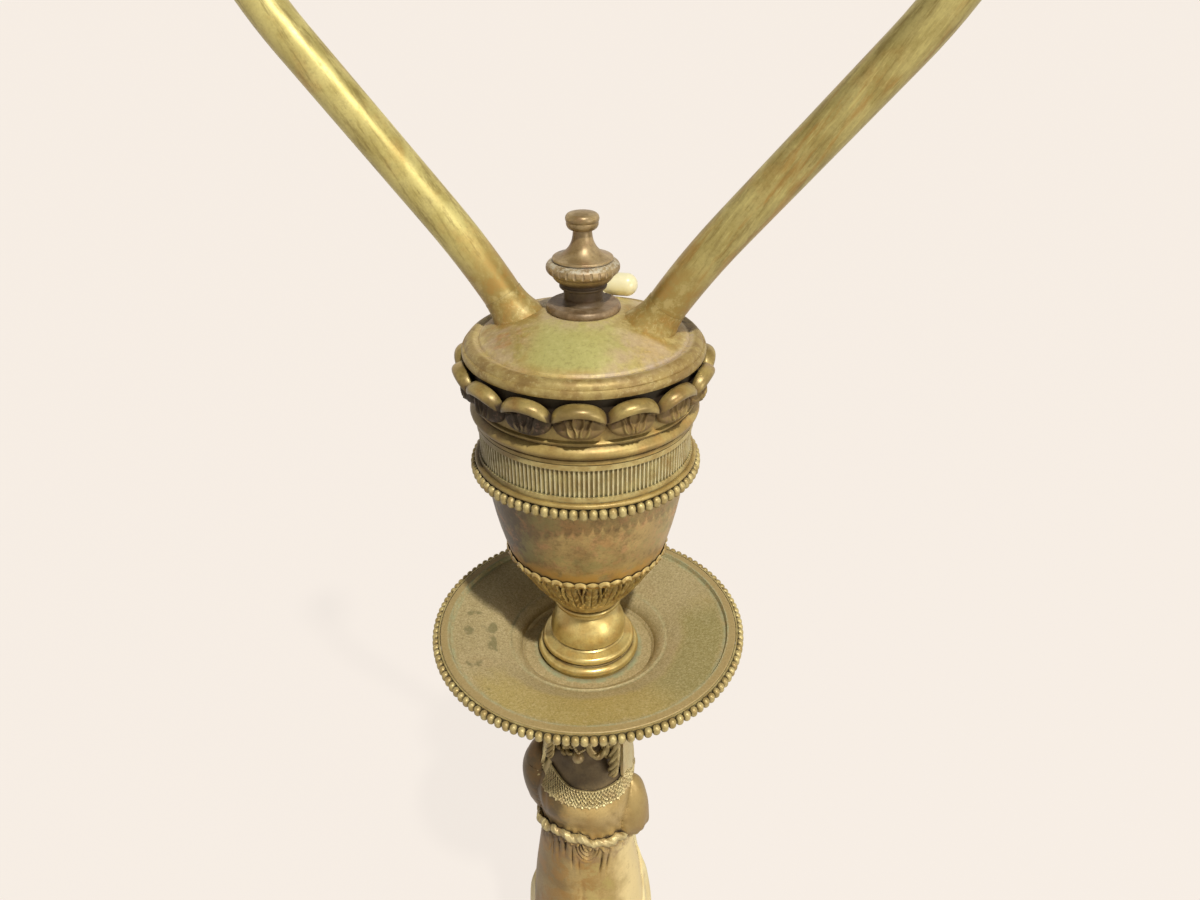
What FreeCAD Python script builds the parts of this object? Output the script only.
import FreeCAD, Part
import math
import os

# Figural table lamp, in millimetres. Z points up, the lamp stands on z = 0, its column is the Z axis,
# the figure faces -Y and the two arms lie in the XZ plane.

# Clearances and general sizes
gap = 0.3                    # between pieces that only lie near each other
solder_gap = 0.1             # under soldered strips and skins
thread_gap = 0.05            # between a thread and its nut
running_gap = 0.06           # round the switch shaft
shell_wall = 3.0             # wall of the base castings
pipe_r = 5.15                # threaded centre pipe
pipe_bore_r = 3.6
pipe_end_h = 9.0             # height of the pipe's lower end
washer_t = 1.2
washer_r = 10.0
nut_flats = 15.0
nut_t = 4.5

# Base
base_r = 75.0
felt_t = 2.0
foot_h = 30.0
foot_rim = 5.0
foot_rim_h = 14.0            # from the felt to the bottom plate
rim_band_h = 12.0            # plain upright part of the foot
plate_t = 2.0
weight_r = 46.0
weight_bore_r = 12.0
weight_h = 10.0
riser_r = 54.0
riser_h = 14.0
drum_r = 38.0
drum_h = 11.0
cap_over = 3.5               # how far the cap stands out past the drum
cap_t = 3.5
bushing_r = 4.4              # cord inlet
bushing_bore_r = 3.2
bushing_flange = 1.0
bushing_length = 7.0

# Figure
skirt_h = 148.0              # hem to waist
torso_h = 39.0               # waist to shoulders
neck_h = 14.0                # shoulders to chin
head_h = 31.0
hem_r = 33.0
thigh_r = 26.3
hip_r = 22.3
waist_r = 19.4
bust_r = 20.5
shoulder_r = 19.0
figure_depth = 0.86          # front-to-back size as a share of the width
skirt_wall = 3.0
skirt_folds = 12
skirt_fold_depth = 0.03      # share of the radius
mantle_steps = 24
neck_r = 7.4
sleeve_r = 7.0
sleeve_h = 14.0
shoulder_tilt = 6.4          # the left shoulder is held this much higher, the right one lower
girdle_r = 1.9
braid_r = 2.3
cushion_r = 13.5
cushion_h = 9.0

# Pan
pan_r = 56.9
pan_wall = 2.0
well_r = 30.4
well_depth = 6.0
dish_rise = 7.2
rim_w = 3.2

# Bead mouldings
bead_w = 2.9
bead_h = 3.9
bead_pitch = 3.12
bead_strip = 0.6             # thickness of the strip that carries the beads

# Turned neck between the pan and the urn
neck_foot_r = 18.8
neck_bell_r = 14.4
neck_throat_r = 9.9
neck_ring_r = 11.9
baluster_h = 27.5

# Urn
urn_wall = 2.0
calyx_r = 13.4               # at its foot
calyx_top_r = 29.5
calyx_h = 26.5
calyx_bulge = 0.6            # bow of its side
calyx_wall = 1.5
leaf_count = 24
cup_h = 30.0                 # cup wall above the calyx
cup_top_r = 34.4
ledge_r = 36.8
ledge_h = 6.5
frieze_r = 35.9
frieze_h = 13.3
flute_count = 150
flute_r = 0.5
gallery_h = 23.4
gallery_ring_r = 37.4
seat_r = 36.9                # collar inside the gallery that carries the lid
medallion_count = 15
medallion_w = 17.2
medallion_h = 13.4
medallion_t = 5.4
medallion_lean = 9.0         # how far their tops lean outwards, in degrees

# Lid
lid_r = 39.1
lid_wall = 3.0
lid_edge_h = 2.6
lid_moulding_h = 2.3
dome_r = 33.4
dome_h = 8.2
spigot_h = 4.0

# Finial
finial_seat_r = 11.6
finial_seat_t = 2.2
stud_r = 3.17
finial_stem_r = 6.9
finial_stem_h = 6.6
finial_bell_h = 3.2          # flare from the stem to the collar
finial_collar_r = 11.5
finial_collar_h = 3.8
finial_cone_r = 9.2
finial_cone_h = 8.8
finial_neck_r = 2.9
finial_knob_r = 4.9
finial_knob_h = 6.0
gadroon_count = 28

# Arms
arm_r = 6.35                 # half-inch tube
arm_bore_r = 5.2
arm_foot_x = 22.2            # where the centre line leaves the lid
arm_foot_lean = 32.5         # degrees from upright
arm_lean = 40.1
arm_curve_r = 250.0
arm_straight = 63.0
arm_bend_r = 124.0
arm_tip = 6.0
arm_flare = 3.8              # how far the lid's fillet round the arm's foot spreads
arm_flare_h = 11.0
arm_flare_edge = 0.15        # metal left round the tube at the fillet's top

# Lamp holders
nipple_r = 5.0
nipple_h = 12.0
cap_neck_h = 5.2
holder_r = 16.6
holder_wall = 0.6
holder_cap_h = 15.0
holder_shell_h = 34.0
liner_wall = 0.7
screw_r = 13.25
screw_wall = 0.5
screw_h = 20.5
holder_base_h = 9.0
contact_t = 0.8
contact_h = 4.2              # height of its sprung tip above the block

# Rotary switch on the lid, behind the finial
switch_y = 25.0
switch_seat = 1.2            # depth of the flat that its nut sits on
switch_web = 1.5             # lid metal left between the nut and the switch
switch_body_r = 8.6
switch_body_h = 15.0
switch_wall = 1.8
switch_bush_r = 3.6
switch_nut_r = 5.6
switch_nut_t = 1.3
switch_shaft_r = 1.6
switch_cam_r = 5.6
switch_cam_t = 4.0
knob_r = 3.9
knob_length = 25.6
knob_gap = 0.85

# Wiring
lead_r = 1.0
lead_bend_r = 6.0
cap_nut_r = 4.2
cap_nut_h = 13.0

# Hickey: the open yoke between the pipe and the finial's stud
hickey_boss_r = 8.5
hickey_boss_h = 8.0
hickey_window_h = 20.0
hickey_strap_w = 8.0
hickey_strap_t = 2.6

# Levels, from the table up
z_foot = felt_t
z_plate = z_foot + foot_rim_h
z_riser = z_foot + foot_h
z_drum = z_riser + riser_h
z_cap = z_drum + drum_h
z_hem = z_cap + cap_t
z_waist = z_hem + skirt_h
z_shoulder = z_waist + torso_h
z_chin = z_shoulder + neck_h
z_crown = z_chin + head_h
z_pan = z_crown + cushion_h
z_well = z_pan + pan_wall
z_calyx = z_well + baluster_h
z_leaf_top = z_calyx + calyx_h
z_ledge = z_leaf_top + cup_h
z_frieze = z_ledge + ledge_h
z_gallery = z_frieze + frieze_h
z_lid = z_gallery + gallery_h
z_dome = z_lid + lid_edge_h + lid_moulding_h
z_finial_seat = z_dome + dome_h
z_finial = z_finial_seat + finial_seat_t
z_urn_floor = z_calyx + calyx_wall + solder_gap + urn_wall
z_hickey = z_urn_floor + washer_t + nut_t + gap

hole_r = pipe_r + gap
frieze_bore_r = frieze_r - flute_r - urn_wall
dome_slope = math.atan2(dome_h, dome_r - finial_seat_r)


def vec(x, y, z):
    return FreeCAD.Vector(x, y, z)


UP = vec(0, 0, 1)
ORIGIN = vec(0, 0, 0)


def lathe(outline, sweep=360.0):
    """Turned solid about Z. Each step is (radius, height) or (radius, height, bulge): the bulge bows the
    edge that arrives there to the right of its travel, which is outwards on the way up."""
    edges = []
    for before, step in zip([outline[-1]] + outline[:-1], outline):
        start, end = vec(before[0], 0, before[1]), vec(step[0], 0, step[1])
        if start.distanceToPoint(end) < 1e-6:
            continue
        if len(step) == 3:
            along = (end - start).normalize()
            middle = (start + end) * 0.5 + vec(along.z, 0, -along.x) * step[2]
            edges.append(Part.Arc(start, middle, end).toShape())
        else:
            edges.append(Part.LineSegment(start, end).toShape())
    face = Part.Face(Part.Wire(Part.__sortEdges__(edges)))
    return face.revolve(ORIGIN, UP, sweep)


def dome_bulge(run, rise):
    """Bulge of an edge that ends level on the Z axis, after a run inwards and a rise."""
    return math.hypot(run, rise) / 2 * math.tan(math.atan2(rise, run) / 2)


def ring(outer, inner, z, height):
    return lathe([(inner, z), (outer, z), (outer, z + height), (inner, z + height)])


def rod(radius, z, height):
    return Part.makeCylinder(radius, height, vec(0, 0, z))


def around(shape, count, start=0.0):
    """Copies of a shape at equal steps about Z."""
    copies = []
    for i in range(count):
        copy = shape.copy()
        copy.rotate(ORIGIN, UP, start + 360.0 * i / count)
        copies.append(copy)
    return copies


def fuse(first, others):
    return first.fuse(others).removeSplitter()


def largest(shape):
    return max(shape.Solids, key=lambda solid: solid.Volume)


def hexagon(flats, z, height, bore):
    corner = flats / math.sqrt(3)
    points = [vec(corner * math.cos(math.radians(60 * i)), corner * math.sin(math.radians(60 * i)), z)
              for i in range(7)]
    prism = Part.Face(Part.makePolygon(points)).extrude(vec(0, 0, height))
    return prism.cut(rod(bore, z - 1, height + 2))


def bead_count(radius):
    return int(round(2 * math.pi * radius / bead_pitch))


def sector(outline, count):
    """One pitch of a turned solid, centred on the +X side."""
    slice_ = lathe(outline, 360.0 / count)
    slice_.rotate(ORIGIN, UP, -180.0 / count)
    return slice_


def wedge(count):
    """Everything within one pitch."""
    reach = 2 * base_r
    return sector([(0, 0), (reach, 0), (reach, 2 * z_finial), (0, 2 * z_finial)], count)


def is_cut_face(face):
    """True for a flat face that holds the Z axis, as the two sides of a one-pitch sector do."""
    if not isinstance(face.Surface, Part.Plane):
        return False
    normal = face.Surface.Axis
    return abs(normal.z) < 1e-6 and abs(normal.dot(face.Surface.Position)) < 1e-6


def sewn_ring(sector, count):
    """Closed ring from one pitch of it: the sector's sides are dropped and the rest is copied round."""
    skin = Part.Compound([face for face in sector.Faces if not is_cut_face(face)])
    faces = [face for copy in around(skin, count) for face in copy.Faces]
    shell = Part.Compound(faces)
    shell.sewShape()
    solid = Part.Solid(shell.Shells[0])
    if solid.Volume < 0:
        solid.reverse()
    return solid


def bead_ring(strip_r, z_middle, strip_h):
    """A thin strip that lies round a wall of radius strip_r, with a row of upright beads soldered on."""
    inner = strip_r + solder_gap
    outer = inner + bead_strip
    half_w, half_h = bead_w / 2, bead_h / 2
    count = bead_count(outer + half_w)
    strip = sector([(inner, z_middle - strip_h / 2), (outer, z_middle - strip_h / 2),
                    (outer, z_middle + strip_h / 2), (inner, z_middle + strip_h / 2)], count)
    pill = lathe([(0, -half_h), (half_w, half_w - half_h, 0.293 * half_w),
                  (half_w, half_h - half_w), (0, half_h, 0.293 * half_w)])
    pill.translate(vec(inner + half_w + 0.02, 0, z_middle))
    return sewn_ring(strip.fuse(pill), count)


def fluted_tube(outer, inner, z, height, count, radius):
    """A tube whose outside is cut with fine upright flutes."""
    half = math.asin(radius / outer)
    step = 2 * math.pi / count
    edges = []
    for i in range(count):
        turn = i * step

        def rim(angle, distance=outer):
            return vec(distance * math.cos(turn + angle), distance * math.sin(turn + angle), z)

        edges.append(Part.Arc(rim(-half), rim(0, outer - radius), rim(half)).toShape())
        edges.append(Part.Arc(rim(half), rim(step / 2), rim(step - half)).toShape())
    body = Part.Face(Part.Wire(edges)).extrude(vec(0, 0, height))
    return body.cut(rod(inner, z - 1, height + 2))


def oval(width, depth, z, shift_y=0.0, folds=6, fold_depth=0.0):
    """Closed oval outline at height z, of half sizes width and depth, with soft folds running round it."""
    points = []
    steps = folds * 4
    for i in range(steps):
        angle = 2 * math.pi * i / steps
        swell = 1 + fold_depth * math.cos(folds * angle)
        points.append(vec(width * swell * math.cos(angle), shift_y + depth * swell * math.sin(angle), z))
    curve = Part.BSplineCurve()
    curve.interpolate(points, PeriodicFlag=True)
    return Part.Wire(curve.toShape())


def eased(keys, z):
    """Values at height z on a smooth curve through keys, each a tuple of height and values."""
    last = len(keys) - 2
    i = max(k for k in range(last + 1) if z >= keys[k][0] or k == 0)
    low, high = keys[i], keys[i + 1]
    before, after = keys[max(i - 1, 0)], keys[min(i + 2, last + 1)]
    span = high[0] - low[0]
    t = (z - low[0]) / span
    values = []
    for k in range(1, len(low)):
        slope_low = (high[k] - before[k]) / (high[0] - before[0]) * span
        slope_high = (after[k] - low[k]) / (after[0] - low[0]) * span
        values.append((2 * t**3 - 3 * t**2 + 1) * low[k] + (t**3 - 2 * t**2 + t) * slope_low
                      + (3 * t**2 - 2 * t**3) * high[k] + (t**3 - t**2) * slope_high)
    return values


def stack(keys, count, folds=6):
    """Loft of ovals, straight between neighbours. Each key is height, width, depth, shift, fold depth."""
    low, high = keys[0][0], keys[-1][0]
    outlines = []
    for i in range(count + 1):
        z = low + (high - low) * i / count
        width, depth, shift, fold = eased(keys, z)
        outlines.append(oval(width, depth, z, shift, folds, fold))
    return Part.makeLoft(outlines, True, True)


def egg(width, depth, height, centre):
    """Solid with half sizes width, depth and height about a centre."""
    ball = Part.makeSphere(1.0)
    stretch = FreeCAD.Matrix()
    stretch.scale(width, depth, height)
    solid = ball.transformGeometry(stretch)
    solid.translate(centre)
    return solid


def round_path(points, bends):
    """Wire through the points with each inner corner rounded to its radius."""
    edges = []
    here = points[0]
    for before, corner, after, radius in zip(points, points[1:], points[2:], bends):
        back = (before - corner).normalize()
        ahead = (after - corner).normalize()
        half = back.getAngle(ahead) / 2
        reach = radius / math.tan(half)
        start, end = corner + back * reach, corner + ahead * reach
        centre = corner + (back + ahead).normalize() * (radius / math.sin(half))
        middle = centre + (corner - centre).normalize() * radius
        if here.distanceToPoint(start) > 1e-6:
            edges.append(Part.LineSegment(here, start).toShape())
        edges.append(Part.Arc(start, middle, end).toShape())
        here = end
    edges.append(Part.LineSegment(here, points[-1]).toShape())
    return Part.Wire(edges)


def tube(path, outer, inner=0.0):
    """Round bar or tube along a path of lines and tangent arcs."""
    first = path.Edges[0]
    start = first.valueAt(first.FirstParameter)
    heading = first.tangentAt(first.FirstParameter)
    if start.distanceToPoint(path.OrderedVertexes[0].Point) > 1e-6:
        heading = heading * -1
        start = path.OrderedVertexes[0].Point
    solid = path.makePipeShell([Part.Wire(Part.makeCircle(outer, start, heading))], True, False)
    if inner:
        bore = Part.Wire(Part.makeCircle(inner, start, heading))
        solid = solid.cut(path.makePipeShell([bore], True, False))
    return solid


def mirrored(shape):
    return shape.mirror(ORIGIN, vec(1, 0, 0))


# Base

bead_seat_r = base_r - 4.2
z_bead_seat = z_foot + rim_band_h + 3.0
bead_seat_h = bead_h + 1.2


def felt_pad():
    return rod(base_r - 1.5, 0, felt_t)


def base_plate():
    return ring(base_r - foot_rim - gap, hole_r, z_plate, plate_t)


def base_weight():
    return ring(weight_r, weight_bore_r, z_plate + plate_t, weight_h)


def base_foot():
    seat = z_plate + plate_t
    throat = riser_r + 1.5
    body = lathe([
        (base_r - foot_rim, z_foot), (base_r, z_foot), (base_r, z_foot + rim_band_h),
        (base_r - 2.4, z_bead_seat, 0.7), (bead_seat_r, z_bead_seat),
        (bead_seat_r, z_bead_seat + bead_seat_h), (bead_seat_r - 1.6, z_bead_seat + bead_seat_h),
        (throat, z_riser - 2, -3), (throat, z_riser),
        (riser_r - shell_wall - 1, z_riser), (riser_r - shell_wall - 1, z_riser - 3),
        (base_r - foot_rim - 7, seat, 2.4), (base_r - foot_rim, seat),
    ])
    counterbore = Part.makeCylinder(bushing_r + bushing_flange + gap, foot_rim,
                                    vec(0, bush_face - bushing_flange, z_inlet), vec(0, 1, 0))
    hole = Part.makeCylinder(bushing_r + thread_gap, foot_rim * 4, vec(0, base_r - foot_rim * 3, z_inlet),
                             vec(0, 1, 0))
    return body.cut([counterbore, hole])


z_inlet = z_foot + rim_band_h / 2
bush_face = base_r - gap


def base_bead_ring():
    return bead_ring(bead_seat_r, z_bead_seat + bead_seat_h / 2, bead_seat_h - 0.4)


def cord_bushing():
    """Flanged bush let into the back of the foot, with a rounded mouth for the cord."""
    length = bushing_length
    flange_r = bushing_r + bushing_flange
    bush = lathe([(bushing_bore_r, 0), (bushing_r, 0), (bushing_r, length - bushing_flange),
                  (flange_r, length - bushing_flange), (flange_r, length - 0.4),
                  (flange_r - 0.4, length), (bushing_bore_r + 0.6, length),
                  (bushing_bore_r, length - 0.6, 0.18)])
    bush.rotate(ORIGIN, vec(1, 0, 0), -90)
    bush.translate(vec(0, bush_face - length, z_inlet))
    return bush


def base_riser():
    top = drum_r + 1.0
    return lathe([
        (riser_r - 8, z_riser), (riser_r, z_riser), (riser_r, z_riser + 5, 2.0),
        (riser_r - 2.5, z_riser + 5), (top, z_drum - 1.5, -3.6), (top, z_drum),
        (drum_r - shell_wall, z_drum), (drum_r - shell_wall, z_drum - 2), (riser_r - 8, z_riser + 2, 3.0),
    ])


def base_drum():
    return fluted_tube(drum_r, drum_r - shell_wall, z_drum, drum_h, flute_count, flute_r)


def base_cap():
    edge = drum_r + cap_over
    return lathe([(hole_r, z_cap), (edge - 1, z_cap), (edge - 1, z_hem - 0.4, 1.0), (edge - 1.4, z_hem),
                  (hole_r, z_hem)])


# Fasteners of the centre pipe

def centre_pipe():
    return ring(pipe_r, pipe_bore_r, pipe_end_h, z_hickey + hickey_boss_h - 1 - pipe_end_h)


def pipe_washers():
    lower = ring(washer_r, hole_r, z_plate - washer_t, washer_t)
    upper = ring(washer_r, hole_r, z_urn_floor, washer_t)
    return Part.Compound([lower, upper])


def lock_nuts():
    lower = hexagon(nut_flats, z_plate - washer_t - nut_t, nut_t, pipe_r + thread_gap)
    upper = hexagon(nut_flats, z_urn_floor + washer_t, nut_t, pipe_r + thread_gap)
    return Part.Compound([lower, upper])


# Figure

z_hip = z_waist - 17.0
z_thigh = z_waist - 43.0
z_knee = z_hem + skirt_h * 0.35
z_bust = z_waist + torso_h * 0.5
z_head = z_chin + head_h / 2


def pipe_hole(shape):
    return shape.cut(rod(hole_r, z_hem - 1, z_pan - z_hem + 2))


def skirt_block(inset=0.0):
    low = z_hem - (1 if inset else 0)
    high = z_waist - (2 * inset)
    folds = 6 if inset else skirt_folds
    deep = 0.0 if inset else skirt_fold_depth
    outlines = [
        oval(hem_r - inset, (hem_r - inset) * figure_depth, low, 0, folds, deep),
        oval(thigh_r + 2 - inset, (thigh_r + 2 - inset) * figure_depth, z_knee, 0, folds, deep),
        oval(thigh_r - inset, (thigh_r - inset) * figure_depth, z_thigh, 0, folds, deep * 0.7),
        oval(hip_r - inset, (hip_r - inset) * figure_depth, z_hip, 0, folds, deep * 0.3),
        oval(waist_r - inset, (waist_r - inset) * figure_depth, high, 0, folds),
    ]
    return Part.makeLoft(outlines, True, False)


def girdle():
    """Cord round the waist."""
    cord = Part.makeTorus(waist_r + 0.4, girdle_r)
    press = FreeCAD.Matrix()
    press.scale(1, figure_depth, 1)
    cord = cord.transformGeometry(press)
    cord.translate(vec(0, 0, z_waist))
    return cord


def torso_block():
    outlines = [
        oval(waist_r - 0.6, (waist_r - 0.6) * figure_depth, z_waist),
        oval(bust_r, bust_r * figure_depth, z_bust, -1.2),
        oval(shoulder_r, shoulder_r * 0.66, z_shoulder - 5),
        oval(neck_r + 1.5, neck_r + 1.0, z_shoulder + 4, 0.5),
    ]
    return Part.makeLoft(outlines, True, False)


def arm_block(side):
    """Upper arm in a puffed sleeve, and the forearm that passes behind the back."""
    lift = -side * shoulder_tilt
    shoulder = vec(side * (shoulder_r + 1.5) - 0.8, 1.0, z_bust - 7.0 + lift)
    elbow = vec(side * (shoulder_r + 1.0), 5.0, z_bust - 17.0 + lift / 2)
    wrist = vec(side * 9.0, bust_r * figure_depth + 1.5, z_waist + 3.0)
    sleeve = egg(sleeve_r, sleeve_r + 1.0, sleeve_h, shoulder)
    upper = Part.makeCone(sleeve_r - 1.5, 4.4, (elbow - shoulder).Length, shoulder, elbow - shoulder)
    joint = Part.makeSphere(4.4, elbow)
    fore = Part.makeCone(4.3, 3.2, (wrist - elbow).Length, elbow, wrist - elbow)
    return sleeve.fuse([upper, joint, fore])


def head_block():
    face = egg(10.6, 12.6, head_h / 2, vec(0, 0, z_head))
    hair = egg(13.2, 13.6, head_h / 2 - 1.2, vec(0, 2.4, z_head + 1.2))
    nose = Part.makeCone(0.6, 1.9, 7.0, vec(0, -12.3, z_head + 1.5), vec(0, -0.14, -1))
    throat = Part.makeCylinder(neck_r, z_head - z_shoulder - 4, vec(0, 0.5, z_shoulder + 4))
    return face.fuse([hair, nose, throat])


def braids_block():
    """Plaited locks that hang in front of both shoulders, as strings of knots."""
    locks = []
    knots = 8
    for side in (-1, 1):
        knot_z = [z_chin + 6 - i * braid_r * 1.35 for i in range(knots)]
        balls = []
        for i, z in enumerate(knot_z):
            lean = i / (knots - 1)
            centre = vec(side * (12.6 + 0.4 * lean), -6.5 - 5.0 * lean, z)
            balls.append(Part.makeSphere(braid_r * (1.0 - 0.25 * lean), centre))
        locks.append(balls[0].fuse(balls[1:]))
    return locks


def pendant_block():
    chain = Part.makeTorus(9.6, 0.9, vec(0, 0, z_shoulder + 3.5), UP)
    chain = chain.common(Part.makeBox(30, 20, 10, vec(-15, -24, z_shoulder)))
    drop = Part.makeSphere(2.4, vec(0, -11.6, z_shoulder + 1.0))
    return chain.fuse(drop)


def mantle_block():
    """Outside of the veil and mantle that fall from the crown down the back to the floor."""
    d = figure_depth
    return stack([
        (z_hem, hem_r + 2.5, (hem_r + 2.5) * d, 1.6, 0.02),
        (z_knee, thigh_r + 3.5, (thigh_r + 4.5) * d, 1.8, 0.015),
        (z_thigh, thigh_r + 1.1, (thigh_r + 2.5) * d, 2.2, 0.015),
        (z_hip, hip_r + 0.3, (hip_r + 3.0) * d, 2.6, 0.01),
        (z_waist, waist_r + 0.4, bust_r, 3.0, 0.0),
        (z_bust, shoulder_r + 2.0, bust_r, 3.4, 0.0),
        (z_shoulder, shoulder_r + 1.0, shoulder_r * 0.9, 3.6, 0.0),
        (z_chin + 4, 18.0, 17.4, 3.0, 0.0),
        (z_head + 6, 15.6, 16.2, 2.6, 0.0),
        (z_crown + 1.6, 9.0, 9.6, 2.0, 0.0),
    ], mantle_steps, skirt_folds)


def mantle_opening():
    """What the open front of the mantle leaves out: wide below the shoulders, narrower round the face."""
    wide = 2 * base_r
    below = Part.makeBox(wide, base_r, z_shoulder - z_hem + 3, vec(-base_r, -base_r + 3.0, z_hem - 2))
    above = Part.makeBox(wide, base_r, z_pan - z_shoulder, vec(-base_r, -base_r - 3.6, z_shoulder + 1))
    return below.fuse(above)


def cushion():
    low = z_crown - 5
    return lathe([(hole_r, low), (cushion_r - 2.5, low), (cushion_r - 2.5, z_pan - 2.5, 2.5),
                  (cushion_r - 2.5, z_pan), (hole_r, z_pan)])


def figure_parts():
    """The figure's castings, each cut to fit against the ones before it."""
    rope = girdle()
    torso = largest(pipe_hole(torso_block()).cut(rope))
    skirt = skirt_block().cut([skirt_block(skirt_wall), rope, torso])
    skirt = largest(pipe_hole(skirt))
    crown_pad = cushion()
    head = largest(pipe_hole(head_block()).cut([torso, crown_pad]))
    core = [torso, skirt, head, rope]
    left = largest(arm_block(-1).cut(core))
    right = largest(arm_block(1).cut(core))
    pendant = largest(pendant_block().cut(core))
    locks = [largest(lock.cut([torso, head])) for lock in braids_block()]
    mantle = mantle_block().cut(mantle_opening())
    for inner in (torso, skirt_block(), head, rope, left, right, crown_pad):
        mantle = largest(mantle.cut(inner))
    mantle = largest(pipe_hole(mantle))
    return {
        "figure_skirt": skirt,
        "figure_bodice": torso,
        "figure_girdle": rope,
        "figure_head": head,
        "figure_arm_left": left,
        "figure_arm_right": right,
        "figure_pendant": pendant,
        "figure_braids": Part.Compound(locks),
        "figure_mantle": mantle,
        "head_cushion": crown_pad,
    }


# Pan

rim_z = z_well + well_depth + dish_rise
rim_in_r = pan_r - rim_w
bead_z = rim_z - bead_h / 2 - 0.2


def pan():
    ridge_z = z_well + well_depth
    well_foot = well_r - 4.5
    hub_r = well_foot - pan_wall
    return lathe([
        (hole_r, z_pan), (hub_r, z_pan), (well_r - 0.5, ridge_z - pan_wall - 1.2, -1.2),
        (pan_r - 1.5, rim_z - pan_wall - 4.2, 1.0), (pan_r, rim_z - 4.6), (pan_r, rim_z - 0.6),
        (pan_r - 0.6, rim_z, 0.2), (rim_in_r, rim_z), (rim_in_r - 0.6, rim_z - 1.5),
        (well_r + 1.0, ridge_z, 0.9), (well_r - 0.5, ridge_z - 0.1, -0.3),
        (well_foot, z_well, 1.2), (hole_r, z_well),
    ])


def pan_bead_rim():
    return bead_ring(pan_r, bead_z, bead_h)


# Turned neck

def baluster():
    z = z_well
    return lathe([
        (hole_r, z), (neck_foot_r, z), (neck_foot_r, z + 1.0), (neck_foot_r - 1.6, z + 4.4, 1.5),
        (neck_foot_r - 2.6, z + 4.9), (neck_foot_r - 2.6, z + 8.3, 1.6), (neck_foot_r - 4.6, z + 8.9),
        (neck_bell_r - 1.0, z + 9.6), (neck_bell_r, z + 10.6),
        (neck_throat_r + 0.4, z + baluster_h - 6.0, 1.2),
        (neck_throat_r, z + baluster_h - 4.6), (neck_ring_r, z + baluster_h - 3.6),
        (neck_ring_r, z + baluster_h - 1.4, 0.8), (neck_ring_r - 1.8, z + baluster_h - 1.0),
        (neck_ring_r - 1.8, z + baluster_h), (hole_r, z + baluster_h),
    ])


# Urn

def calyx_outline(inset):
    """Outer side of the bowl, from foot to rim, moved inwards by inset."""
    return [(calyx_r - inset * 0.5, z_calyx + inset), (calyx_top_r - inset, z_leaf_top, calyx_bulge)]


def urn_calyx():
    outside = calyx_outline(0)
    inside = calyx_outline(calyx_wall)
    bowl = sector([(hole_r, z_calyx)] + outside + [(inside[1][0], z_leaf_top),
                  (inside[0][0], inside[0][1], -calyx_bulge), (hole_r, inside[0][1])], leaf_count)
    leaf_place = vec(calyx_top_r - 0.4, 0, z_leaf_top - 2.6)
    leaf = egg(1.3, math.pi * calyx_top_r / leaf_count * 0.86, 3.4, leaf_place)
    leaf.rotate(vec(calyx_top_r, 0, z_leaf_top), vec(0, 1, 0), 12)
    inner = rod(calyx_top_r - calyx_wall, z_calyx - 5, calyx_h + 13)
    leaf = largest(leaf.cut(cup_block()).cut(inner))
    return sewn_ring(largest(bowl.fuse(leaf)), leaf_count)


def cup_block():
    """Filled outside shape of the cup, calyx bowl included."""
    inside = calyx_outline(calyx_wall + solder_gap)
    return lathe([(0, inside[0][1]), inside[0], (inside[1][0], z_leaf_top, calyx_bulge),
                  (cup_top_r, z_ledge, 0.8), (0, z_ledge)])


def urn_cup():
    inside = calyx_outline(calyx_wall + solder_gap + urn_wall)
    hollow = lathe([(0, z_urn_floor), (inside[0][0], z_urn_floor), (inside[1][0], z_leaf_top, calyx_bulge),
                    (cup_top_r - urn_wall, z_ledge + 1, 0.8), (0, z_ledge + 1)])
    return cup_block().cut([hollow, rod(hole_r, z_calyx - 1, calyx_h)])


def urn_ledge():
    """Ring between cup and frieze: a fillet, the seat of the bead row and a top moulding."""
    low = z_ledge
    return lathe([
        (frieze_bore_r, low), (cup_top_r + 0.9, low), (cup_top_r + 0.9, low + 1.0),
        (ledge_r - 0.4, low + 1.0), (ledge_r - 0.4, low + 5.2), (ledge_r + 1.0, low + 5.2),
        (ledge_r + 0.4, z_frieze, 0.4),
        (frieze_bore_r, z_frieze),
    ])


def urn_bead_ring():
    return bead_ring(ledge_r - 0.4, z_ledge + 3.1, 4.2)


def urn_frieze():
    """Fluted band between two plain fillets."""
    fillet_h = 1.8
    fluted_h = frieze_h - 2 * fillet_h
    band = fluted_tube(frieze_r, frieze_bore_r, z_frieze + fillet_h, fluted_h, flute_count, flute_r)
    lower = ring(frieze_r + 0.5, frieze_bore_r, z_frieze, fillet_h)
    upper = ring(frieze_r + 0.5, frieze_bore_r, z_gallery - fillet_h, fillet_h)
    return fuse(band, [lower, upper])


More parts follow.
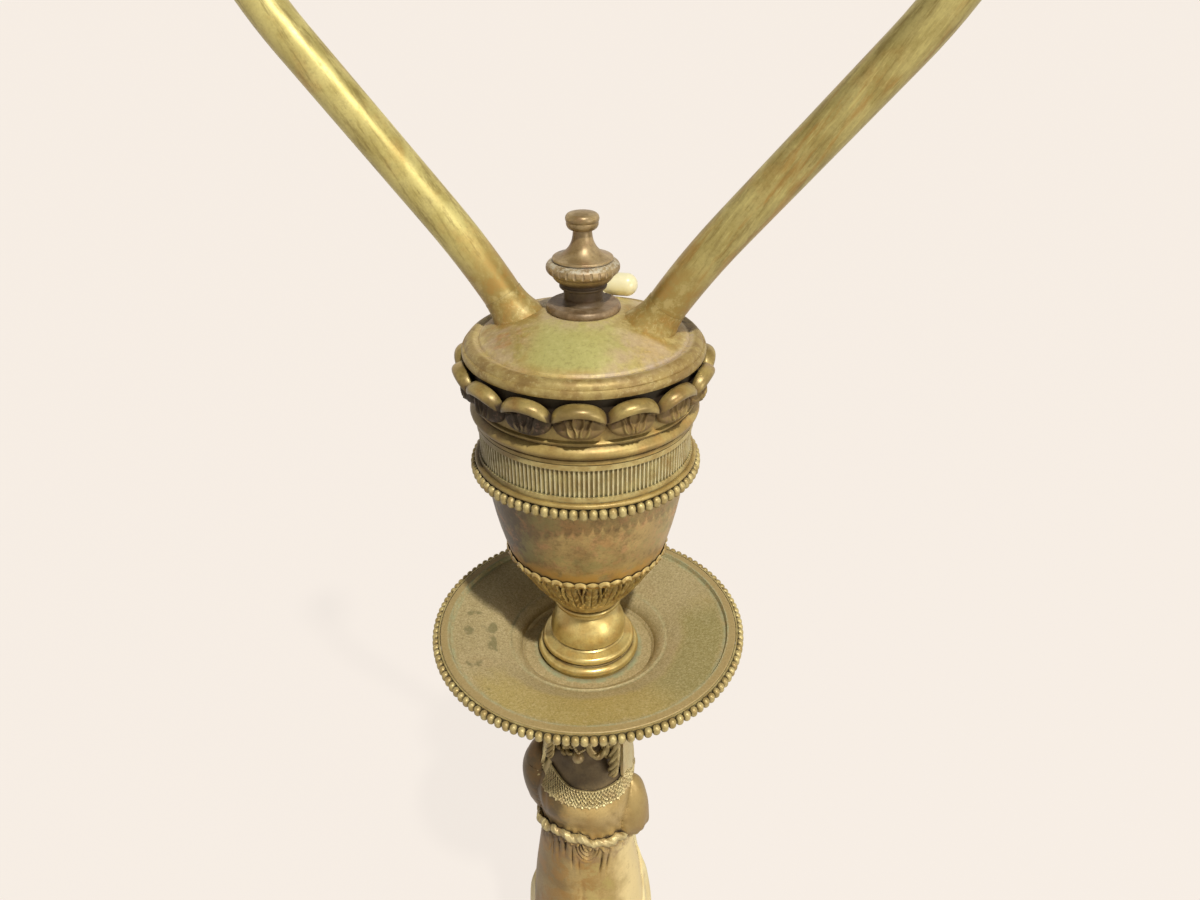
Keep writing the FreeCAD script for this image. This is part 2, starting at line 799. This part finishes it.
def urn_gallery():
    """Flaring top of the urn, ringed with lobed medallions, and the inner collar that carries the lid."""
    low = z_gallery
    wall_top = z_lid - medallion_h * 0.52
    outer_top = gallery_ring_r + 2.2
    wall = sector([
        (frieze_bore_r, low), (frieze_r + 0.5, low), (frieze_r + 0.5, low + 1.9),
        (gallery_ring_r - 0.9, low + 1.9), (gallery_ring_r - 0.9, low + 6.4, 1.6),
        (gallery_ring_r - 1.5, low + 7.2), (outer_top, wall_top, -1.4), (seat_r, wall_top),
        (seat_r, z_lid), (frieze_bore_r, z_lid),
    ], medallion_count)
    centre = vec(outer_top + 0.2, 0, z_lid + 0.2 - medallion_h / 2)
    lobe = egg(medallion_t / 2, medallion_w / 2, medallion_h / 2, centre)
    lobe.rotate(centre, vec(0, 1, 0), medallion_lean)
    hollow = lathe([(0, low - 2), (seat_r - 0.4, low - 2), (seat_r - 0.4, wall_top - 2.2),
                    (seat_r + 1.6, wall_top), (outer_top + 1.6, z_lid + 3), (0, z_lid + 3)])
    lobe = largest(lobe.cut(hollow).common(wedge(medallion_count)))
    gallery = sewn_ring(largest(wall.fuse(lobe)), medallion_count)
    gallery.rotate(ORIGIN, UP, -90 + 180 / medallion_count)
    return gallery


# Lid and finial

def lid_surface(radius):
    """Height of the lid's plain cone at a radius."""
    return z_dome + (dome_r - radius) * math.tan(dome_slope)


def switch_frame(shape):
    """Sets a piece built upright at the origin onto the switch's axis, with z = 0 on the lid's surface."""
    shape.rotate(ORIGIN, vec(1, 0, 0), -math.degrees(dome_slope))
    shape.translate(vec(0, switch_y, lid_surface(switch_y)))
    return shape


def lid():
    side_top = z_lid + lid_edge_h
    spigot_r = frieze_bore_r - gap
    inner_rise = z_finial_seat - lid_wall - (spigot_r - 2.4 - finial_seat_r) * math.tan(dome_slope)
    shell = lathe([
        (spigot_r - 2.4, z_lid - spigot_h), (spigot_r, z_lid - spigot_h), (spigot_r, z_lid),
        (lid_r, z_lid), (lid_r - 0.3, side_top, 0.35), (lid_r - 0.8, side_top + 0.1),
        (dome_r + 1.2, z_dome - 0.3, 1.0), (dome_r + 0.3, z_dome - 0.5), (dome_r - 0.2, z_dome + 0.2),
        (finial_seat_r, z_finial_seat, 0.7), (stud_r + gap, z_finial_seat),
        (stud_r + gap, z_finial_seat - lid_wall), (finial_seat_r, z_finial_seat - lid_wall),
        (spigot_r - 2.4, inner_rise),
    ])
    bosses = []
    for side in (-1, 1):
        boss = arm_boss()
        bosses.append(boss if side == 1 else mirrored(boss))
    body = fuse(shell, bosses)
    inside = lathe([
        (0, z_lid - spigot_h - 9), (spigot_r - 2.4, z_lid - spigot_h - 9),
        (spigot_r - 2.4, inner_rise),
        (finial_seat_r, z_finial_seat - lid_wall), (0, z_finial_seat - lid_wall),
    ])
    body = body.cut(inside)
    for side in (-1, 1):
        bore = Part.makeCylinder(arm_r + thread_gap, 80, arm_start() - arm_heading() * 40, arm_heading())
        body = body.cut(bore if side == 1 else mirrored(bore))
    seat = switch_frame(rod(switch_nut_r + 0.8, -switch_seat, 8))
    pocket = switch_frame(rod(switch_body_r + gap, -switch_seat - switch_web - 30, 30))
    hole = switch_frame(rod(switch_bush_r + gap, -30, 60))
    return largest(body.cut([seat, pocket, hole]))


def finial_seat():
    low, top = z_finial_seat, z_finial
    return lathe([(stud_r + gap, low), (finial_seat_r, low), (finial_seat_r, top - 0.7, 0.15),
                  (finial_seat_r - 1.4, top, 0.3), (stud_r + gap, top)])


def finial():
    """Turned cap nut: stem, gadrooned collar, hollow cone and flat knob, tapped from below."""
    collar_z = z_finial + finial_stem_h + finial_bell_h
    cone_z = collar_z + finial_collar_h
    neck_z = cone_z + finial_cone_h
    top = neck_z + finial_knob_h
    depth = neck_z - 6 - z_finial
    ring_r = finial_stem_r + 0.3
    ring_z = z_finial + finial_stem_h - 1.6
    cap_r = finial_knob_r - 1.4
    body = lathe([
        (0, z_finial), (finial_stem_r, z_finial), (finial_stem_r - 0.7, z_finial + 2.0, -0.4),
        (finial_stem_r - 0.7, ring_z - 0.5), (ring_r, ring_z), (ring_r, ring_z + 1.0, 0.3),
        (finial_stem_r, z_finial + finial_stem_h), (finial_collar_r - 1.7, collar_z - 0.6, 0.5),
        (finial_collar_r - 0.9, collar_z), (finial_collar_r - 0.9, cone_z - 0.6, 0.9),
        (finial_cone_r, cone_z), (finial_cone_r, cone_z + 1.0, 0.3),
        (finial_neck_r + 0.2, neck_z - 1.6, -1.45), (finial_neck_r, neck_z), (finial_neck_r, neck_z + 0.4),
        (finial_knob_r, neck_z + 2.9, 0.8), (cap_r, top - 0.5, 0.9), (0, top, dome_bulge(cap_r, 0.5)),
    ])
    groove = Part.makeCylinder(0.5, finial_collar_h + 3, vec(finial_collar_r + 0.1, 0, collar_z - 3))
    tap = rod(stud_r + thread_gap, z_finial - 1, depth + 1)
    return body.cut(around(groove, gadroon_count) + [tap])


def hickey():
    """Open yoke: a boss screwed on the pipe, two straps, and a boss for the finial's stud."""
    upper_z = z_hickey + hickey_boss_h + hickey_window_h
    lower = rod(hickey_boss_r, z_hickey, hickey_boss_h)
    upper = rod(hickey_boss_r - 1.5, upper_z, hickey_boss_h - 1)
    inner_x = hickey_boss_r - 1.5 - hickey_strap_t
    straps = []
    for x in (inner_x, -inner_x - hickey_strap_t):
        straps.append(Part.makeBox(hickey_strap_t, hickey_strap_w, hickey_window_h + 2,
                                   vec(x, -hickey_strap_w / 2, upper_z - hickey_window_h - 1)))
    yoke = fuse(lower, [upper] + straps)
    return yoke.cut([rod(pipe_r + thread_gap, z_hickey - 1, hickey_boss_h + 2),
                     rod(stud_r + thread_gap, upper_z - 1, hickey_boss_h + 2)])


def finial_stud():
    low = z_hickey + hickey_boss_h + hickey_window_h - 1
    top = z_finial + finial_stem_h + finial_bell_h + finial_collar_h + finial_cone_h - 8
    return rod(stud_r, low, top - low)


# Arms

def arm_heading():
    lean = math.radians(arm_foot_lean)
    return vec(math.sin(lean), 0, math.cos(lean))


def arm_start():
    """Point where the arm's centre line meets the lid's surface."""
    return vec(arm_foot_x, 0, lid_surface(arm_foot_x))


def arm_points():
    """Corners of the arm's centre line, from inside the lid to the upright tip, and its bend radii."""
    heading = arm_heading()
    lean = math.radians(arm_lean)
    slope = vec(math.sin(lean), 0, math.cos(lean))
    first_reach = arm_curve_r * math.tan(math.radians(arm_lean - arm_foot_lean) / 2)
    second_reach = arm_bend_r * math.tan(lean / 2)
    start = arm_start() - heading * 5.0
    corner = arm_start() + heading * (first_reach + 6.0)
    shoulder = corner + slope * (first_reach + arm_straight + second_reach)
    tip = shoulder + vec(0, 0, second_reach + arm_tip)
    return [start, corner, shoulder, tip], [arm_curve_r, arm_bend_r]


def arm_path():
    points, bends = arm_points()
    return round_path(points, bends)


def arm_boss():
    """Flared foot of one arm, cast with the lid."""
    heading = arm_heading()
    foot = 6.0
    top = foot + arm_flare_h
    spread = arm_flare - arm_flare_edge
    root = arm_start() - heading * (foot + lid_wall)
    flare = lathe([(0, 0), (arm_r + arm_flare, 0), (arm_r + arm_flare, foot),
                   (arm_r + arm_flare_edge, top, -dome_bulge(arm_flare_h, spread)), (0, top)])
    flare.rotate(ORIGIN, vec(0, 1, 0), arm_foot_lean)
    flare.translate(root)
    return flare


def arm_tube(side):
    arm = tube(arm_path(), arm_r, arm_bore_r)
    return arm if side == 1 else mirrored(arm)


# Lamp holders, one on the tip of each arm

def arm_end():
    points = arm_points()[0]
    return points[-1]


z_holder = arm_end().z
z_shell = z_holder + holder_cap_h


def at_arm_end(shape, side):
    shape.translate(vec(side * arm_end().x, 0, 0))
    return shape


def arm_nipples():
    """Threaded nipples that join each arm to its holder."""
    nipple = ring(nipple_r, nipple_r - 1.4, z_holder + cap_neck_h - gap - nipple_h, nipple_h)
    return Part.Compound([at_arm_end(nipple.copy(), side) for side in (-1, 1)])


def holder_cap():
    """Pressed cap with a threaded neck; the shell slips over its rim."""
    wall = holder_wall
    rim = holder_r - wall - gap
    neck = arm_r + 1.2
    return lathe([
        (nipple_r + thread_gap, z_holder), (neck, z_holder), (neck, z_holder + 3),
        (neck + 1.2, z_holder + 4, -0.4), (rim, z_shell - 2, 2.2), (rim, z_shell + 3),
        (rim - wall, z_shell + 3), (rim - wall, z_shell - 2), (neck, z_holder + cap_neck_h, -2.2),
        (nipple_r + thread_gap, z_holder + cap_neck_h),
    ])


def holder_shell():
    top = z_shell + holder_shell_h
    inner = holder_r - holder_wall
    return lathe([
        (inner, z_shell), (holder_r, z_shell), (holder_r, top - 3), (holder_r + 0.9, top - 2, 0.3),
        (holder_r + 0.9, top - 0.6, 0.3), (holder_r, top), (inner, top),
    ])


def holder_liner():
    inner = holder_r - holder_wall - 0.1
    base = z_block
    return ring(inner, inner - liner_wall, base, z_shell + holder_shell_h - 1 - base)


z_block = z_shell + 3 + gap
z_contact = z_block + holder_base_h
screw_seat_h = contact_h + gap


def holder_base():
    """Porcelain block that carries the contact, with a rim that carries the screw shell."""
    radius = holder_r - holder_wall - liner_wall - 0.4
    low = z_block
    block = rod(radius, low, holder_base_h)
    rim = ring(radius, screw_r + screw_wall / 2, z_contact, screw_seat_h)
    lead_hole = Part.makeCylinder(lead_r + 0.4, holder_base_h + 2, vec(0, radius - 4.5, low - 1))
    other = Part.makeCylinder(lead_r + 0.4, holder_base_h + 2, vec(0, 4.5 - radius, low - 1))
    foot = ring(nipple_r + 2.4, nipple_r - 1.0, z_holder + cap_neck_h, low - z_holder - cap_neck_h)
    return fuse(block, [foot, rim]).cut([lead_hole, other])


def screw_shell():
    return ring(screw_r + screw_wall, screw_r, z_contact + screw_seat_h, screw_h)


def centre_contact():
    """Sprung tongue on the block: a foot and a raised tip."""
    low = z_contact
    tip = low + contact_h
    foot = Part.makeBox(7.0, 5.0, contact_t, vec(-8.0, -2.5, low))
    slope_points = [vec(-1.8, -2.5, low), vec(3.6, -2.5, tip - contact_t), vec(3.6, -2.5, tip),
                    vec(-1.8, -2.5, low + contact_t), vec(-1.8, -2.5, low)]
    tongue = Part.Face(Part.makePolygon(slope_points)).extrude(vec(0, 5.0, 0))
    return fuse(foot, [tongue])


# Rotary switch

z_switch_top = -switch_seat - switch_web
cam_z = z_switch_top - switch_wall - 2.6 - switch_cam_t


def switch_body():
    bottom = z_switch_top - switch_body_h
    outer = rod(switch_body_r, bottom, switch_body_h)
    hollow = rod(switch_body_r - switch_wall, bottom + 3.0, switch_body_h - 3.0 - switch_wall)
    hole = rod(switch_bush_r, z_switch_top - switch_wall - 1, switch_wall + 2)
    return switch_frame(outer.cut([hollow, hole]))


def switch_bushing():
    bottom = z_switch_top - switch_wall - 1.2
    top = switch_nut_t - switch_seat
    bore = switch_shaft_r + running_gap
    return switch_frame(lathe([
        (bore, bottom), (switch_bush_r + 1.4, bottom), (switch_bush_r + 1.4, bottom + 1.2),
        (switch_bush_r, bottom + 1.2), (switch_bush_r, top), (bore, top),
    ]))


def switch_nut():
    nut = lathe([(switch_bush_r + thread_gap, 0), (switch_nut_r, 0), (switch_nut_r, switch_nut_t - 0.3),
                 (switch_nut_r - 0.4, switch_nut_t), (switch_bush_r + thread_gap, switch_nut_t)])
    notch = Part.makeBox(1.4, 1.2, switch_nut_t + 1, vec(switch_nut_r - 1.0, -0.6, 0.6))
    nut = nut.cut(around(notch, 4, 45))
    nut.translate(vec(0, 0, -switch_seat))
    return switch_frame(nut)


knob_low = switch_nut_t - switch_seat + knob_gap


def switch_shaft():
    bottom = cam_z - 2.2
    return switch_frame(rod(switch_shaft_r, bottom, knob_low + knob_r - bottom))


def switch_cam():
    """Contact drum on the shaft's lower end, with two flats that make and break the circuits."""
    drum = ring(switch_cam_r, switch_shaft_r, cam_z, switch_cam_t)
    flat = Part.makeBox(3.0, 2 * switch_cam_r, switch_cam_t + 2,
                        vec(switch_cam_r - 1.2, -switch_cam_r, cam_z - 1))
    return switch_frame(drum.cut(around(flat, 2)))


def switch_knob():
    """Round-ended bar with a short hub, moulded in ivory-coloured plastic."""
    middle = knob_low + knob_r
    half = knob_length / 2 - knob_r
    bar = Part.makeCylinder(knob_r, 2 * half, vec(-half, 0, middle), vec(1, 0, 0))
    ends = [Part.makeSphere(knob_r, vec(side * half, 0, middle)) for side in (-1, 1)]
    hub = rod(switch_shaft_r + 1.6, knob_low, knob_r)
    body = fuse(bar, ends + [hub])
    return switch_frame(body.cut(rod(switch_shaft_r, knob_low - 1, knob_r + 1)))


# Wiring

def joint_x(side):
    return side * 15.0


joint_y = 6.0
z_joint = z_ledge - 6.0


def wire_connectors():
    """Insulated twist-on caps where the leads meet inside the urn."""
    caps = []
    for side in (-1, 1):
        cap = lathe([(0, 0), (cap_nut_r, 0), (cap_nut_r - 0.9, cap_nut_h - 1.4),
                     (0, cap_nut_h, dome_bulge(cap_nut_r - 0.9, 1.4))])
        cap.translate(vec(joint_x(side), joint_y, z_joint - cap_nut_h))
        caps.append(cap)
    return Part.Compound(caps)


def supply_leads():
    """The two supply conductors: from the inlet, up the pipe, and out through the yoke's window."""
    leads = []
    window_z = z_hickey + hickey_boss_h + hickey_window_h * 0.45
    for side in (-1, 1):
        x = side * (lead_r + 0.25)
        points = [vec(x, bush_face - bushing_length - gap, z_inlet - 1.5), vec(x, 0, z_inlet - 1.5),
                  vec(x, 0, window_z), vec(x, 13.0, window_z + 14),
                  vec(x, 17.5, z_frieze - 1.0)]
        path = round_path(points, [lead_bend_r, lead_bend_r, lead_bend_r])
        leads.append(tube(path, lead_r))
    return Part.Compound(leads)


def arm_leads():
    """One pair per arm, drawn as a single round lead: connector, up the arm, into the holder's block."""
    leads = []
    corners, bends = arm_points()
    heading = arm_heading()
    entry = arm_start() - heading * 11.0
    start = vec(joint_x(1), joint_y, z_joint)
    rise = vec(joint_x(1), joint_y, z_joint + 14)
    top = vec(corners[-1].x, 0, z_shell + 3.0)
    points = [start, rise, entry, corners[1], corners[2], top]
    path = round_path(points, [5.0, 5.0] + bends)
    for side in (-1, 1):
        lead = tube(path, lead_r * 1.5)
        leads.append(lead if side == 1 else mirrored(lead))
    return Part.Compound(leads)


def assembly():
    parts = {
        "felt_pad": felt_pad(),
        "base_plate": base_plate(),
        "base_weight": base_weight(),
        "base_foot": base_foot(),
        "base_bead_ring": base_bead_ring(),
        "cord_bushing": cord_bushing(),
        "base_riser": base_riser(),
        "base_drum": base_drum(),
        "base_cap": base_cap(),
        "centre_pipe": centre_pipe(),
        "pipe_washers": pipe_washers(),
        "lock_nuts": lock_nuts(),
        "pan": pan(),
        "pan_bead_rim": pan_bead_rim(),
        "baluster": baluster(),
        "urn_calyx": urn_calyx(),
        "urn_cup": urn_cup(),
        "urn_ledge": urn_ledge(),
        "urn_bead_ring": urn_bead_ring(),
        "urn_frieze": urn_frieze(),
        "urn_gallery": urn_gallery(),
        "lid": lid(),
        "finial_seat": finial_seat(),
        "finial": finial(),
        "finial_stud": finial_stud(),
        "hickey": hickey(),
        "arm_nipples": arm_nipples(),
        "switch_body": switch_body(),
        "switch_bushing": switch_bushing(),
        "switch_nut": switch_nut(),
        "switch_shaft": switch_shaft(),
        "switch_cam": switch_cam(),
        "switch_knob": switch_knob(),
        "wire_connectors": wire_connectors(),
        "supply_leads": supply_leads(),
        "arm_leads": arm_leads(),
    }
    parts.update(figure_parts())
    for word, side in (("left", -1), ("right", 1)):
        parts["arm_" + word] = arm_tube(side)
        for name, make in (("holder_cap", holder_cap), ("holder_shell", holder_shell),
                           ("holder_liner", holder_liner), ("holder_base", holder_base),
                           ("screw_shell", screw_shell), ("centre_contact", centre_contact)):
            parts[name + "_" + word] = at_arm_end(make(), side)
    return parts


os.makedirs("parts", exist_ok=True)
for name, shape in assembly().items():
    if not shape.isValid():
        print("not valid:", name)
    print(f"{name}: {len(shape.Solids)} solids, {shape.Volume / 1000:.2f} cm3")
    shape.exportStep(f"parts/{name}.step")
